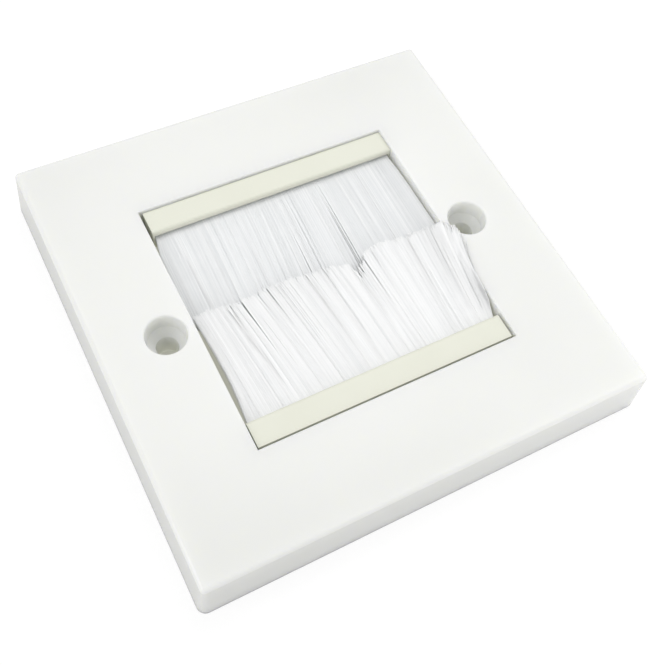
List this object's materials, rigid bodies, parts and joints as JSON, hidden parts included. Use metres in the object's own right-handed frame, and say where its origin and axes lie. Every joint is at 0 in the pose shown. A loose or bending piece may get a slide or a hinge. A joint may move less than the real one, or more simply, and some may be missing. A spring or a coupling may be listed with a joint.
{
  "type": "brush wall plate",
  "caption": "Square white wall plate whose square aperture is closed by facing rows of bristles held in ivory bars, for passing leads through a wall.",
  "frame": {"origin": "centre of the back rim, in the plane of the wall", "axes": "+Z out of the wall, +Y up the wall, +X along the brush bars and the line of the screw holes"},
  "size_m": [0.086, 0.086, 0.0112],
  "materials": {
    "white_moulding": "polished white thermoset moulding",
    "ivory_moulding": "satin ivory plastic",
    "plated_strip": "zinc plated, folded",
    "steel_wire": "drawn wire",
    "nylon_filament": "translucent white filament"
  },
  "bodies": {
    "root": {"faceplate": "white_moulding", "upper_brush_holder": "ivory_moulding", "lower_brush_holder": "ivory_moulding", "upper_strip_channel": "plated_strip", "lower_strip_channel": "plated_strip", "upper_core_wire": "steel_wire", "lower_core_wire": "steel_wire", "upper_bristles": "nylon_filament", "lower_bristles": "nylon_filament"}
  },
  "joints": []
}
